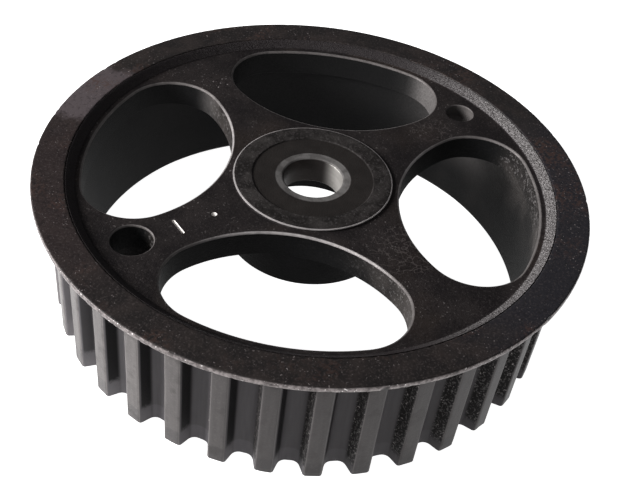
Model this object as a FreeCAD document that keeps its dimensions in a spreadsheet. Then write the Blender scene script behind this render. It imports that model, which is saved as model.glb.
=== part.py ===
import FreeCAD, Part

import math
import os

import Sketcher

# Timing belt pulley: a sintered toothed wheel with a pressed steel belt flange.
#
# Frame: the pulley's axis is the Z axis, with +Z pointing to the front (the side
# that carries the flange and faces the mechanic). The origin lies on the axis, in
# the plane of the rear ends of the teeth. All sizes are millimetres and degrees.

doc = FreeCAD.newDocument("timing_belt_pulley")

# ---------------------------------------------------------------------------
# Driving dimensions. Each one is written once, here.
# ---------------------------------------------------------------------------
sheet = doc.addObject("Spreadsheet::Sheet", "Sheet")

DIMENSIONS = [
    # toothing
    ("tooth_count", 36, "number of teeth round the wheel"),
    ("belt_pitch", 9.525, "belt pitch, the arc from tooth to tooth on the pitch line"),
    ("pitch_line_gap", 0.686, "how far the belt's cord runs outside the tooth tips"),
    ("face_width", 29.2, "length of the teeth along the axis"),
    ("groove_depth", 3.4, "radial depth of a tooth space"),
    ("land_width", 3.5, "width of a tooth's top, before its edges are rounded"),
    ("flank_angle", 20, "angle of a flank to the middle line of its groove"),
    ("root_round", 1.75, "radius in the corners of a tooth space"),
    ("tip_round", 0.65, "radius on the edges of a tooth's top"),
    ("tooth_phase", -2.1, "angle of the first tooth from the X axis"),
    # rim
    ("rim_wall", 2.29, "thickness of the rim under a tooth space"),
    ("rim_rear_chamfer", 1.6, "chamfer inside the rim's rear edge"),
    ("collar_step", 0.19, "how far the flange's collar lies inside the root circle"),
    ("slope_run", 1.95, "radial width of the slope from the collar down to the web"),
    # belt flange
    ("flange_overhang", 3.2, "how far the belt flange stands out past the tooth tips"),
    ("flange_thickness", 1.4, "sheet thickness of the belt flange"),
    ("flange_press", 0.0, "radial gap between the flange and its collar"),
    ("flange_round", 0.45, "rounding of the flange's outer edges"),
    # web
    ("web_drop", 1.6, "how far the web's face lies behind the flange's face"),
    ("web_thickness", 5.8, "thickness of the web"),
    # hub
    ("ring_radius", 16.6, "radius of the raised ring on the hub's front"),
    ("ring_rise", 0.55, "height of that ring above the web"),
    ("seat_radius", 12.6, "radius of the bolt seat inside the ring"),
    ("seat_recess", 0.25, "depth of the bolt seat below the ring"),
    ("bore_radius", 6.1, "radius of the bolt bore, clear of a 12 mm bolt"),
    ("bore_chamfer", 0.4, "chamfer round the front of the bore"),
    ("boss_step", 1.2, "how much larger in radius the rear boss is than the ring"),
    ("boss_length", 7.8, "length of the rear boss behind the web"),
    ("nose_radius", 13.0, "radius of the socket that takes the camshaft's nose"),
    ("nose_chamfer", 0.6, "chamfer round the socket's mouth"),
    # windows in the web
    ("window_rim_gap", 1.0, "web left between a window and the rim's inner wall"),
    ("window_ring_gap", 1.6, "web left between a window and the hub's ring"),
    ("window_inner_round", 28.5, "radius of a window's inner arc"),
    ("window_end_round", 10.5, "radius of a window's two ends"),
    ("window_lower_angle", -93.4, "angle of the first window's middle"),
    ("window_right_angle", -3.1, "angle of the second window's middle"),
    ("window_upper_angle", 86.8, "angle of the third window's middle"),
    ("window_left_angle", 173.3, "angle of the fourth window's middle"),
    ("window_edge_round", 0.5, "rounding of the windows' front edges"),
    # holes and marks on the spokes
    ("timing_hole_radius", 4.2, "radius of the timing pin's hole"),
    ("timing_hole_inset", 6.8, "distance of the timing hole's middle from the rim's wall"),
    ("timing_hole_angle", -141.8, "angle of the timing hole"),
    ("timing_boss_wall", 2.0, "wall of the boss behind the timing hole"),
    ("timing_boss_length", 5.2, "length of that boss behind the web"),
    ("dimple_radius", 3.1, "radius of the blind hole on the opposite spoke"),
    ("dimple_inset", 5.0, "distance of the blind hole's middle from the rim's wall"),
    ("dimple_angle", 44.1, "angle of the blind hole"),
    ("dimple_depth", 3.2, "depth of the blind hole"),
    ("mark_gap", 15.2, "distance of the timing line from the hub's ring"),
    ("mark_angle", -140.6, "angle of the timing line"),
    ("mark_length", 4.3, "length of the timing line"),
    ("mark_width", 0.6, "width of the timing line"),
    ("mark_depth", 0.3, "depth of the timing line"),
    ("dot_gap", 7.2, "distance of the punched dot from the hub's ring"),
    ("dot_angle", -140.3, "angle of the punched dot"),
    ("dot_radius", 0.6, "radius of the punched dot"),
    ("dot_depth", 0.4, "depth of the punched dot"),
]

for row, (alias, value, meaning) in enumerate(DIMENSIONS, start=1):
    sheet.set("A%d" % row, meaning)
    sheet.set("B%d" % row, str(value))
    sheet.setAlias("B%d" % row, alias)
doc.recompute()

# Sizes that follow from the ones above, as formulas on the sheet's cells.
TIP = "(Sheet.tooth_count * Sheet.belt_pitch / (2 * pi) - Sheet.pitch_line_gap)"
ROOT = "(%s - Sheet.groove_depth)" % TIP
RIM_INNER = "(%s - Sheet.rim_wall)" % ROOT
COLLAR = "(%s - Sheet.collar_step)" % ROOT
SLOPE_FOOT = "(%s - Sheet.slope_run)" % COLLAR
FLANGE_BORE = "(%s + Sheet.flange_press)" % COLLAR
FLANGE_EDGE = "(%s + Sheet.flange_overhang)" % TIP
FRONT = "(Sheet.face_width + Sheet.flange_thickness)"
WEB_FRONT = "(%s - Sheet.web_drop)" % FRONT
WEB_REAR = "(%s - Sheet.web_thickness)" % WEB_FRONT
RING_FRONT = "(%s + Sheet.ring_rise)" % WEB_FRONT
SEAT_FRONT = "(%s - Sheet.seat_recess)" % RING_FRONT
BOSS_REAR = "(%s - Sheet.boss_length)" % WEB_REAR
BOSS = "(Sheet.ring_radius + Sheet.boss_step)"
WINDOW_OUTER = "(%s - Sheet.window_rim_gap)" % RIM_INNER
WINDOW_INNER = "(Sheet.ring_radius + Sheet.window_ring_gap)"
TIMING_PLACE = "(%s - Sheet.timing_hole_inset)" % RIM_INNER
DIMPLE_PLACE = "(%s - Sheet.dimple_inset)" % RIM_INNER
MARK_PLACE = "(Sheet.ring_radius + Sheet.mark_gap)"
DOT_PLACE = "(Sheet.ring_radius + Sheet.dot_gap)"


def cell(name):
    """The number that the sheet holds under this alias."""
    return float(sheet.get(name))


def number(formula):
    """The value of a formula, for a sketch's first guess."""
    return float(sheet.evalExpression(formula))


def origin_plane(body, role):
    """One of a body's own three origin planes."""
    for item in body.Origin.OriginFeatures:
        if item.Role == role:
            return item
    raise RuntimeError("no origin plane " + role)


def new_body(name):
    """An empty body whose label is the name of its node."""
    body = doc.addObject("PartDesign::Body", name)
    body.Label = name
    doc.recompute()
    return body


def new_sketch(body, name, role, height=None, turn=None):
    """A sketch on an origin plane, raised and turned by formulas of the sheet."""
    sketch = body.newObject("Sketcher::SketchObject", name)
    sketch.AttachmentSupport = [(origin_plane(body, role), "")]
    sketch.MapMode = "FlatFace"
    if height is not None:
        sketch.setExpression("AttachmentOffset.Base.z", height)
    if turn is not None:
        sketch.setExpression("AttachmentOffset.Rotation.Angle", turn)
    doc.recompute()
    return sketch


def bind(sketch, constraint, name, formula):
    """Add a named size to a sketch and tie it to a formula."""
    index = sketch.addConstraint(constraint)
    sketch.renameConstraint(index, name)
    sketch.setExpression("Constraints." + name, formula)


def arc_between(start, end, radius, turn):
    """The short arc from start to end, drawn counter-clockwise when turn is 1."""
    if turn < 0:
        start, end = end, start
    half = (end - start) * 0.5
    reach = math.sqrt(max(radius * radius - half.Length * half.Length, 0.0))
    aside = FreeCAD.Vector(-half.y, half.x, 0).normalize() * reach
    centre = start + half + aside
    first = math.atan2(start.y - centre.y, start.x - centre.x)
    last = math.atan2(end.y - centre.y, end.x - centre.x)
    circle = Part.Circle(centre, FreeCAD.Vector(0, 0, 1), radius)
    return Part.ArcOfCircle(circle, first, last)


def outline(sketch, corners, arcs=None):
    """A closed outline, its corners tied by two distances and its arcs by a radius.

    arcs maps the number of an edge to (radius formula, turn), where edge i runs
    from corner i to the next one and turn is 1 when it bends counter-clockwise.
    """
    arcs = arcs or {}
    spots = []
    for across, along in corners:
        spots.append(FreeCAD.Vector(number(across), number(along), 0))
    count = len(spots)
    ends = []
    for i in range(count):
        start = spots[i]
        end = spots[(i + 1) % count]
        if i in arcs:
            formula, turn = arcs[i]
            sketch.addGeometry(arc_between(start, end, number(formula), turn), False)
            ends.append((1, 2) if turn > 0 else (2, 1))
        else:
            sketch.addGeometry(Part.LineSegment(start, end), False)
            ends.append((1, 2))
    for i in range(count):
        before = (i - 1) % count
        joint = Sketcher.Constraint("Coincident", before, ends[before][1], i, ends[i][0])
        sketch.addConstraint(joint)
    for i, (across, along) in enumerate(corners):
        size = spots[i]
        corner = ends[i][0]
        level = Sketcher.Constraint("DistanceX", -1, 1, i, corner, size.x)
        bind(sketch, level, "across%d" % i, across)
        height = Sketcher.Constraint("DistanceY", -1, 1, i, corner, size.y)
        bind(sketch, height, "along%d" % i, along)
    for i in arcs:
        radius = Sketcher.Constraint("Radius", i, number(arcs[i][0]))
        bind(sketch, radius, "radius%d" % i, arcs[i][0])
    doc.recompute()


def cut_pocket(body, name, sketch, depth):
    """A pocket from the sketch's plane down into the body."""
    before = body.Tip.Shape.Volume
    pocket = body.newObject("PartDesign::Pocket", name)
    pocket.Profile = sketch
    pocket.Type = "Length"
    pocket.setExpression("Length", depth)
    sketch.Visibility = False
    doc.recompute()
    if pocket.Shape.Volume >= before - 1e-6:
        raise RuntimeError(name + " cuts nothing")
    return pocket


def circle_sketch(body, name, radius, place, angle, height):
    """A sketch with one circle at a polar place in a plane square to the axis."""
    sketch = new_sketch(body, name, "XY_Plane", height, angle)
    centre = FreeCAD.Vector(number(place), 0, 0)
    sketch.addGeometry(Part.Circle(centre, FreeCAD.Vector(0, 0, 1), number(radius)), False)
    bind(sketch, Sketcher.Constraint("Radius", 0, number(radius)), "radius", radius)
    bind(sketch, Sketcher.Constraint("DistanceX", -1, 1, 0, 3, centre.x), "place", place)
    sketch.addConstraint(Sketcher.Constraint("PointOnObject", 0, 3, -1))
    doc.recompute()
    return sketch


# ---------------------------------------------------------------------------
# The toothed wheel: rim, web and hub pressed and sintered in one piece.
# ---------------------------------------------------------------------------
wheel = new_body("toothed_wheel")

# Half section through rim, web and hub, turned once round the axis.
section = new_sketch(wheel, "wheel_section", "XZ_Plane")
outline(section, [
    ("Sheet.bore_radius", WEB_REAR),
    ("Sheet.nose_radius", WEB_REAR),
    ("Sheet.nose_radius", BOSS_REAR + " + Sheet.nose_chamfer"),
    ("Sheet.nose_radius + Sheet.nose_chamfer", BOSS_REAR),
    (BOSS, BOSS_REAR),
    (BOSS, WEB_REAR),
    (RIM_INNER, WEB_REAR),
    (RIM_INNER, "Sheet.rim_rear_chamfer"),
    (RIM_INNER + " + Sheet.rim_rear_chamfer", "0 * Sheet.face_width"),
    (TIP, "0 * Sheet.face_width"),
    (TIP, "Sheet.face_width"),
    (COLLAR, "Sheet.face_width"),
    (COLLAR, FRONT),
    (SLOPE_FOOT, WEB_FRONT),
    ("Sheet.ring_radius", WEB_FRONT),
    ("Sheet.ring_radius", RING_FRONT),
    ("Sheet.seat_radius", RING_FRONT),
    ("Sheet.seat_radius", SEAT_FRONT),
    ("Sheet.bore_radius + Sheet.bore_chamfer", SEAT_FRONT),
    ("Sheet.bore_radius", SEAT_FRONT + " - Sheet.bore_chamfer"),
])
blank = wheel.newObject("PartDesign::Revolution", "wheel_blank")
blank.Profile = section
blank.ReferenceAxis = (section, ["V_Axis"])
blank.Angle = 360
doc.recompute()
wheel.Tip = blank

# A tooth space: a flat root between two rounded corners, two straight flanks and
# the rounded edges of the teeth on both sides. It is drawn with its middle line
# on the X axis, then turned to lie between two teeth.
OPENING = "((%s * 360 / Sheet.tooth_count - Sheet.land_width * 180 / pi) / (2 * %s))" % (TIP, TIP)
SINE = "sin(Sheet.flank_angle * 1deg)"
COSINE = "cos(Sheet.flank_angle * 1deg)"
EDGE_X = "(%s * cos(%s * 1deg))" % (TIP, OPENING)
EDGE_Y = "(%s * sin(%s * 1deg))" % (TIP, OPENING)
FLANK = "(%s * %s - %s * %s)" % (EDGE_Y, COSINE, EDGE_X, SINE)
ROOT_X = "(%s + Sheet.root_round)" % ROOT
ROOT_Y = "((%s - Sheet.root_round + %s * %s) / %s)" % (FLANK, SINE, ROOT_X, COSINE)
TOP_OFF = "(%s + Sheet.tip_round)" % FLANK
TOP_REACH = "(%s - Sheet.tip_round)" % TIP
TOP_ALONG = "sqrt(%s ^ 2 - %s ^ 2)" % (TOP_REACH, TOP_OFF)
TOP_X = "(%s * %s - %s * %s)" % (TOP_ALONG, COSINE, TOP_OFF, SINE)
TOP_Y = "(%s * %s + %s * %s)" % (TOP_ALONG, SINE, TOP_OFF, COSINE)

low_flank = (
    "%s - Sheet.root_round * %s" % (ROOT_X, SINE),
    "%s + Sheet.root_round * %s" % (ROOT_Y, COSINE),
)
high_flank = (
    "%s + Sheet.tip_round * %s" % (TOP_X, SINE),
    "%s - Sheet.tip_round * %s" % (TOP_Y, COSINE),
)
top_edge = (
    "%s * %s / %s" % (TOP_X, TIP, TOP_REACH),
    "%s * %s / %s" % (TOP_Y, TIP, TOP_REACH),
)
OUTSIDE = "(%s + Sheet.groove_depth / 2)" % TIP


def mirrored(corner):
    """The same corner on the other side of the X axis."""
    return (corner[0], "-1 * (%s)" % corner[1])


space = new_sketch(
    wheel, "tooth_space_outline", "XY_Plane", "Sheet.face_width",
    "Sheet.tooth_phase + 180 / Sheet.tooth_count")
outline(space, [
    (ROOT, ROOT_Y),
    (ROOT, "-1 * " + ROOT_Y),
    mirrored(low_flank),
    mirrored(high_flank),
    mirrored(top_edge),
    (OUTSIDE, "-1 * %s * %s / %s" % (TOP_Y, TIP, TOP_REACH)),
    (OUTSIDE, "%s * %s / %s" % (TOP_Y, TIP, TOP_REACH)),
    top_edge,
    high_flank,
    low_flank,
], {
    1: ("Sheet.root_round", 1),
    3: ("Sheet.tip_round", -1),
    7: ("Sheet.tip_round", -1),
    9: ("Sheet.root_round", 1),
})
first_space = cut_pocket(wheel, "first_tooth_space", space, "Sheet.face_width")

spaces = wheel.newObject("PartDesign::PolarPattern", "tooth_spaces")
spaces.Originals = [first_space]
spaces.Axis = (section, ["V_Axis"])
spaces.Angle = 360
spaces.setExpression("Occurrences", "Sheet.tooth_count")
wheel.Tip = spaces
doc.recompute()

# A boss behind the web stiffens the timing pin's hole.
timing_boss = circle_sketch(
    wheel, "timing_boss_outline", "Sheet.timing_hole_radius + Sheet.timing_boss_wall",
    TIMING_PLACE, "Sheet.timing_hole_angle", WEB_REAR)
boss = wheel.newObject("PartDesign::Pad", "timing_boss")
boss.Profile = timing_boss
boss.setExpression("Length", "Sheet.timing_boss_length")
boss.Reversed = True
timing_boss.Visibility = False
doc.recompute()
wheel.Tip = boss

# Four windows of one outline lighten the web. The fourth one stands nearer to the
# third, which leaves a wider spoke for the timing hole.
CENTRE = "(%s + Sheet.window_inner_round)" % WINDOW_INNER
OUTER_REACH = "(%s - Sheet.window_end_round)" % WINDOW_OUTER
INNER_REACH = "(Sheet.window_inner_round - Sheet.window_end_round)"
END_X = "((%s ^ 2 - %s ^ 2 + %s ^ 2) / (2 * %s))" % (OUTER_REACH, INNER_REACH, CENTRE, CENTRE)
END_Y = "sqrt(%s ^ 2 - %s ^ 2)" % (OUTER_REACH, END_X)
outer_corner = (
    "%s * %s / %s" % (END_X, WINDOW_OUTER, OUTER_REACH),
    "%s * %s / %s" % (END_Y, WINDOW_OUTER, OUTER_REACH),
)
inner_corner = (
    "%s + (%s - %s) * Sheet.window_inner_round / %s" % (CENTRE, END_X, CENTRE, INNER_REACH),
    "%s * Sheet.window_inner_round / %s" % (END_Y, INNER_REACH),
)
for side in ("lower", "right", "upper", "left"):
    window = new_sketch(
        wheel, side + "_window_outline", "XY_Plane", WEB_FRONT,
        "Sheet.window_%s_angle" % side)
    outline(window, [
        mirrored(outer_corner),
        outer_corner,
        inner_corner,
        mirrored(inner_corner),
    ], {
        0: (WINDOW_OUTER, 1),
        1: ("Sheet.window_end_round", 1),
        2: ("Sheet.window_inner_round", 1),
        3: ("Sheet.window_end_round", 1),
    })
    cut_pocket(wheel, side + "_window", window, "Sheet.web_thickness")

# The timing pin's hole passes through the web and its boss.
timing_hole = circle_sketch(
    wheel, "timing_hole_outline", "Sheet.timing_hole_radius",
    TIMING_PLACE, "Sheet.timing_hole_angle", WEB_FRONT)
cut_pocket(
    wheel, "timing_hole", timing_hole,
    "Sheet.web_thickness + Sheet.timing_boss_length")

# The opposite spoke carries a smaller, blind hole.
dimple = circle_sketch(
    wheel, "blind_hole_outline", "Sheet.dimple_radius",
    DIMPLE_PLACE, "Sheet.dimple_angle", WEB_FRONT)
cut_pocket(wheel, "blind_hole", dimple, "Sheet.dimple_depth")

# The timing line is a short groove across the spoke, with a punched dot beside it.
line = new_sketch(wheel, "timing_line_outline", "XY_Plane", WEB_FRONT, "Sheet.mark_angle")
outline(line, [
    (MARK_PLACE + " - Sheet.mark_width / 2", "-1 * Sheet.mark_length / 2"),
    (MARK_PLACE + " + Sheet.mark_width / 2", "-1 * Sheet.mark_length / 2"),
    (MARK_PLACE + " + Sheet.mark_width / 2", "Sheet.mark_length / 2"),
    (MARK_PLACE + " - Sheet.mark_width / 2", "Sheet.mark_length / 2"),
])
cut_pocket(wheel, "timing_line", line, "Sheet.mark_depth")
dot = circle_sketch(
    wheel, "punched_dot_outline", "Sheet.dot_radius", DOT_PLACE,
    "Sheet.dot_angle", WEB_FRONT)
cut_pocket(wheel, "punched_dot", dot, "Sheet.dot_depth")


def on_window_edge(edge):
    """Whether an edge runs round a window, in the web's front face."""
    level = number(WEB_FRONT)
    for vertex in edge.Vertexes:
        if abs(vertex.Z - level) > 1e-4:
            return False
    curve = edge.Curve
    if not isinstance(curve, Part.Circle):
        return False
    sizes = (
        number(WINDOW_OUTER),
        cell("window_end_round"),
        cell("window_inner_round"),
    )
    if abs(edge.Length - 2 * math.pi * curve.Radius) < 1e-6:
        return False
    return min(abs(curve.Radius - size) for size in sizes) < 1e-4


# The windows' front edges are rounded.
base = wheel.Tip
names = []
for index, edge in enumerate(base.Shape.Edges, start=1):
    if on_window_edge(edge):
        names.append("Edge%d" % index)
if len(names) != 16:
    raise RuntimeError("expected 16 window edges, found %d" % len(names))
soft = wheel.newObject("PartDesign::Fillet", "window_edges")
soft.Base = (base, names)
soft.setExpression("Radius", "Sheet.window_edge_round")
doc.recompute()
wheel.Tip = soft

# ---------------------------------------------------------------------------
# The belt flange: a flat steel ring pressed onto the wheel's front collar. It
# stands out past the teeth and keeps the belt from running off the front.
# ---------------------------------------------------------------------------
flange = new_body("belt_flange")
ring = new_sketch(flange, "flange_outline", "XY_Plane", "Sheet.face_width")
for index, formula in enumerate((FLANGE_BORE, FLANGE_EDGE)):
    circle = Part.Circle(FreeCAD.Vector(0, 0, 0), FreeCAD.Vector(0, 0, 1), number(formula))
    ring.addGeometry(circle, False)
    ring.addConstraint(Sketcher.Constraint("Coincident", index, 3, -1, 1))
    bind(ring, Sketcher.Constraint("Radius", index, number(formula)), "radius%d" % index, formula)
disc = flange.newObject("PartDesign::Pad", "flange_disc")
disc.Profile = ring
disc.setExpression("Length", "Sheet.flange_thickness")
ring.Visibility = False
doc.recompute()
flange.Tip = disc
names = []
for index, edge in enumerate(disc.Shape.Edges, start=1):
    curve = edge.Curve
    if isinstance(curve, Part.Circle) and abs(curve.Radius - number(FLANGE_EDGE)) < 1e-6:
        names.append("Edge%d" % index)
rolled = flange.newObject("PartDesign::Fillet", "flange_edges")
rolled.Base = (disc, names)
rolled.setExpression("Radius", "Sheet.flange_round")
doc.recompute()
flange.Tip = rolled
doc.recompute()

# ---------------------------------------------------------------------------
# Checks, then one file for each piece.
# ---------------------------------------------------------------------------
for item in doc.Objects:
    for word in ("Invalid", "Error"):
        if word in item.State:
            raise RuntimeError("%s is %s" % (item.Name, item.State))

pieces = [wheel, flange]
for piece in pieces:
    if piece.Shape.isNull() or not piece.Shape.isValid():
        raise RuntimeError(piece.Label + " has no valid shape")
    if len(piece.Shape.Solids) != 1:
        raise RuntimeError(piece.Label + " isn't one solid")

shared = wheel.Shape.common(flange.Shape).Volume
if shared > 0.01:
    raise RuntimeError("the wheel and the flange overlap by %.3f" % shared)

os.makedirs("parts", exist_ok=True)
for piece in pieces:
    piece.Shape.exportStep("parts/%s.step" % piece.Label)
    box = piece.Shape.BoundBox
    print("%-14s %9.1f mm3  %.2f x %.2f x %.2f" % (
        piece.Label, piece.Shape.Volume, box.XLength, box.YLength, box.ZLength))
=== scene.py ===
# %% [markdown]
# # A timing belt pulley
#
# This lesson builds the looks of a used pulley for a toothed belt. The real thing
# has two pieces. The wheel is iron powder, pressed in a die and sintered, so its
# toothed rim, its web and its hub are one body with a sandy grain. The belt flange
# is a flat steel ring that is pressed onto the front of that wheel.
#
# The solid model of both pieces is opened first and stays fixed. Everything below is
# made in the same frame: the axis is Z, the front is up, and the teeth stand on Z = 0.

# %% Open the fixed frame
import math

import bmesh
import bpy
from mathutils import Matrix, Vector, noise
from mathutils.geometry import delaunay_2d_cdt


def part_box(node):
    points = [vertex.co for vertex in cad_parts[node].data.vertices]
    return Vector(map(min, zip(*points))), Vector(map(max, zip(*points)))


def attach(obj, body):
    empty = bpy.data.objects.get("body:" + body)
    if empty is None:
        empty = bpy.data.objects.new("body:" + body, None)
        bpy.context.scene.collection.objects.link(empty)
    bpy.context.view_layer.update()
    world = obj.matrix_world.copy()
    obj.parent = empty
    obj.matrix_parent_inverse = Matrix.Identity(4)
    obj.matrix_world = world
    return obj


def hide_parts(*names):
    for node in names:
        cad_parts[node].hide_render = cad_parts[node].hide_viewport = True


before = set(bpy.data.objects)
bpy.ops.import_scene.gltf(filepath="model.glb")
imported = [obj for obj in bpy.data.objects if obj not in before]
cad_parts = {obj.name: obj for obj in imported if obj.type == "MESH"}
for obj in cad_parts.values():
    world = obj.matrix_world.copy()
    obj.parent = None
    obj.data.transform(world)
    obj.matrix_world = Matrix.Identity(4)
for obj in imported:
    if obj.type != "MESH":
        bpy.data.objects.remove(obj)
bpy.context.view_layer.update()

MM = 0.001

# %% [markdown]
# ## The sizes
#
# The flange's box gives its outer radius and its two faces. The tooth tips are worked out
# from the belt's pitch, and the wheel's box is printed next to them. The other sizes can't
# be read off a box, so they are written down here once, in millimetres, under the names
# that a machinist would use. Reading the main sizes from the model, and not typing them
# again, keeps the looks and the solid model from drifting apart.

# %% Sizes from the frame
wheel_low, wheel_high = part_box("toothed_wheel")
flange_low, flange_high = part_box("belt_flange")

TOOTH_COUNT = 36
FIRST_TOOTH = -2.1
BELT_PITCH = 9.525
CORD_GAP = 0.686
TIP = TOOTH_COUNT * BELT_PITCH / (2 * math.pi) - CORD_GAP
ROOT = TIP - 3.4
COLLAR = ROOT - 0.19
RIM_WALL = ROOT - 2.29
SLOPE_FOOT = COLLAR - 1.95
FACE = flange_low.z / MM
FRONT = flange_high.z / MM
FLANGE_EDGE = flange_high.x / MM
WEB_FRONT = FRONT - 1.6
WEB_REAR = WEB_FRONT - 5.8
RING_RADIUS = 16.6
RING_FRONT = WEB_FRONT + 0.55
SEAT_RADIUS = 12.6
SEAT = RING_FRONT - 0.25
BORE_RADIUS = 6.1
NOSE_RADIUS = 13.0
BOSS_RADIUS = RING_RADIUS + 1.2
BOSS_REAR = WEB_REAR - 7.8
TIMING_HOLE, BLIND_HOLE = (RIM_WALL - 6.8, -141.8), (RIM_WALL - 5.0, 44.1)
TIMING_RADIUS, BLIND_RADIUS = 4.2, 3.1
LINE_PLACE, DOT_PLACE = (31.8, -140.6), (23.8, -140.3)
print("tips at %.3f mm, the wheel's box says %.3f mm" % (TIP, wheel_high.x / MM))
print("flange from %.2f to %.2f mm, out to %.2f mm" % (FACE, FRONT, FLANGE_EDGE))

# %% [markdown]
# ## One tooth of the rim
#
# The teeth all have one shape and stand at even steps, so only one of them is drawn.
# It could be cut from a ring with booleans, but thirty-six cuts leave thin, uneven
# faces. Here the outline of one tooth, from the middle of a space to the middle of
# the next one, is worked out from the same rule as the real cutter's: a flat root,
# rounded corners, flanks at 20 degrees and small rounds at the tip.

# %% The outline of one tooth
FLANK = math.radians(20)
ROOT_ROUND = 1.75
TIP_ROUND = 0.65
LAND = 3.5
HALF_PITCH = math.pi / TOOTH_COUNT


def steps(first, last, count):
    """Evenly spaced numbers from first to last, both included."""
    return [first + (last - first) * i / (count - 1) for i in range(count)]


def half_space():
    """Points from the middle of a tooth space to the middle of the next tooth."""
    opening = HALF_PITCH - LAND / 2 / TIP
    edge_x, edge_y = TIP * math.cos(opening), TIP * math.sin(opening)
    off = edge_y * math.cos(FLANK) - edge_x * math.sin(FLANK)
    root_x = ROOT + ROOT_ROUND
    root_y = (off - ROOT_ROUND + math.sin(FLANK) * root_x) / math.cos(FLANK)
    reach = TIP - TIP_ROUND
    top_off = off + TIP_ROUND
    along = math.sqrt(reach ** 2 - top_off ** 2)
    top_x = along * math.cos(FLANK) - top_off * math.sin(FLANK)
    top_y = along * math.sin(FLANK) + top_off * math.cos(FLANK)
    points = [(ROOT, root_y * part) for part in (0, 0.5)]
    for turn in steps(math.pi, math.pi / 2 + FLANK, 9):
        points.append((root_x + ROOT_ROUND * math.cos(turn),
                       root_y + ROOT_ROUND * math.sin(turn)))
    low = points[-1]
    high = (top_x + TIP_ROUND * math.sin(FLANK), top_y - TIP_ROUND * math.cos(FLANK))
    for part in (1 / 3, 2 / 3):
        points.append((low[0] + (high[0] - low[0]) * part,
                       low[1] + (high[1] - low[1]) * part))
    last = math.atan2(top_y, top_x)
    for turn in steps(FLANK - math.pi / 2, last, 6):
        points.append((top_x + TIP_ROUND * math.cos(turn),
                       top_y + TIP_ROUND * math.sin(turn)))
    for turn in steps(last, HALF_PITCH, 4)[1:]:
        points.append((TIP * math.cos(turn), TIP * math.sin(turn)))
    return [(math.atan2(y, x), math.hypot(x, y)) for x, y in points]


half = half_space()
TOOTH = [(turn - HALF_PITCH, reach) for turn, reach in half]
TOOTH += [(-turn, reach) for turn, reach in reversed(TOOTH[:-1])]
print("one tooth has", len(TOOTH), "points, from", round(ROOT, 2), "to", round(TIP, 2), "mm")

# %% [markdown]
# ## From the outline to a slice of the rim
#
# Every point of the outline becomes one upright column. The column runs down the
# rim's inner wall, round the chamfered rear end, up the tooth, over the collar that
# holds the flange and down the slope to the web. Columns side by side make a slice
# that is open only where the next slice and the web join it.

# %% A slice of the rim
JOIN = 48.0
REAR_CHAMFER = 1.6


def column(reach):
    """The section through the rim, as radius and height, for one outline point."""
    return [
        (RIM_WALL, WEB_REAR), (RIM_WALL, 17.0), (RIM_WALL, 10.0),
        (RIM_WALL, REAR_CHAMFER + 0.15), (RIM_WALL + 0.12, REAR_CHAMFER - 0.12),
        (RIM_WALL + REAR_CHAMFER - 0.12, 0.12), (RIM_WALL + REAR_CHAMFER + 0.1, 0),
        (reach - 0.25, 0), (reach - 0.07, 0.07), (reach, 0.25),
        (reach, 2.0), (reach, 4.0), (reach, 7.0), (reach, 11.0), (reach, 15.0),
        (reach, 19.0), (reach, 23.0), (reach, 27.0), (reach, FACE),
        (COLLAR, FACE), (COLLAR, FRONT - 0.22), (COLLAR - 0.06, FRONT - 0.1),
        (COLLAR - 0.22, FRONT - 0.16), (COLLAR - 0.6, FRONT - 0.49),
        (COLLAR - 1.05, FRONT - 0.86), (COLLAR - 1.5, FRONT - 1.23),
        (SLOPE_FOOT + 0.16, WEB_FRONT + 0.13), (SLOPE_FOOT + 0.02, WEB_FRONT + 0.05),
        (SLOPE_FOOT - 0.14, WEB_FRONT + 0.01), (JOIN, WEB_FRONT),
    ]


def rim_slice():
    """A mesh of the rim over one pitch, with its tooth in the middle, on the X axis."""
    corners, faces = [], []
    for turn, reach in TOOTH:
        for radius, height in column(reach):
            corners.append((radius * math.cos(turn) * MM,
                            radius * math.sin(turn) * MM, height * MM))
    rows = len(column(TIP))
    for i in range(len(TOOTH) - 1):
        for j in range(rows - 1):
            a, b = i * rows + j, (i + 1) * rows + j
            faces.append((a, b, b + 1, a + 1))
    mesh = bpy.data.meshes.new("rim_slice")
    mesh.from_pydata(corners, [], faces)
    return mesh


slice_object = bpy.data.objects.new("rim_slice", rim_slice())
bpy.context.scene.collection.objects.link(slice_object)
print("the slice has", len(slice_object.data.polygons), "faces")

# %% [markdown]
# ## The finishes, part one: a bench for mixing them
#
# A sintered surface is never one flat colour. Its look is mixed from the position on
# the piece: how far out, how far up, and which side of a tooth. A small class keeps
# that mixing readable. It could be done by painting images, but patterns that are
# worked out from the position have no seams and stay sharp at any distance.

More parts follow.
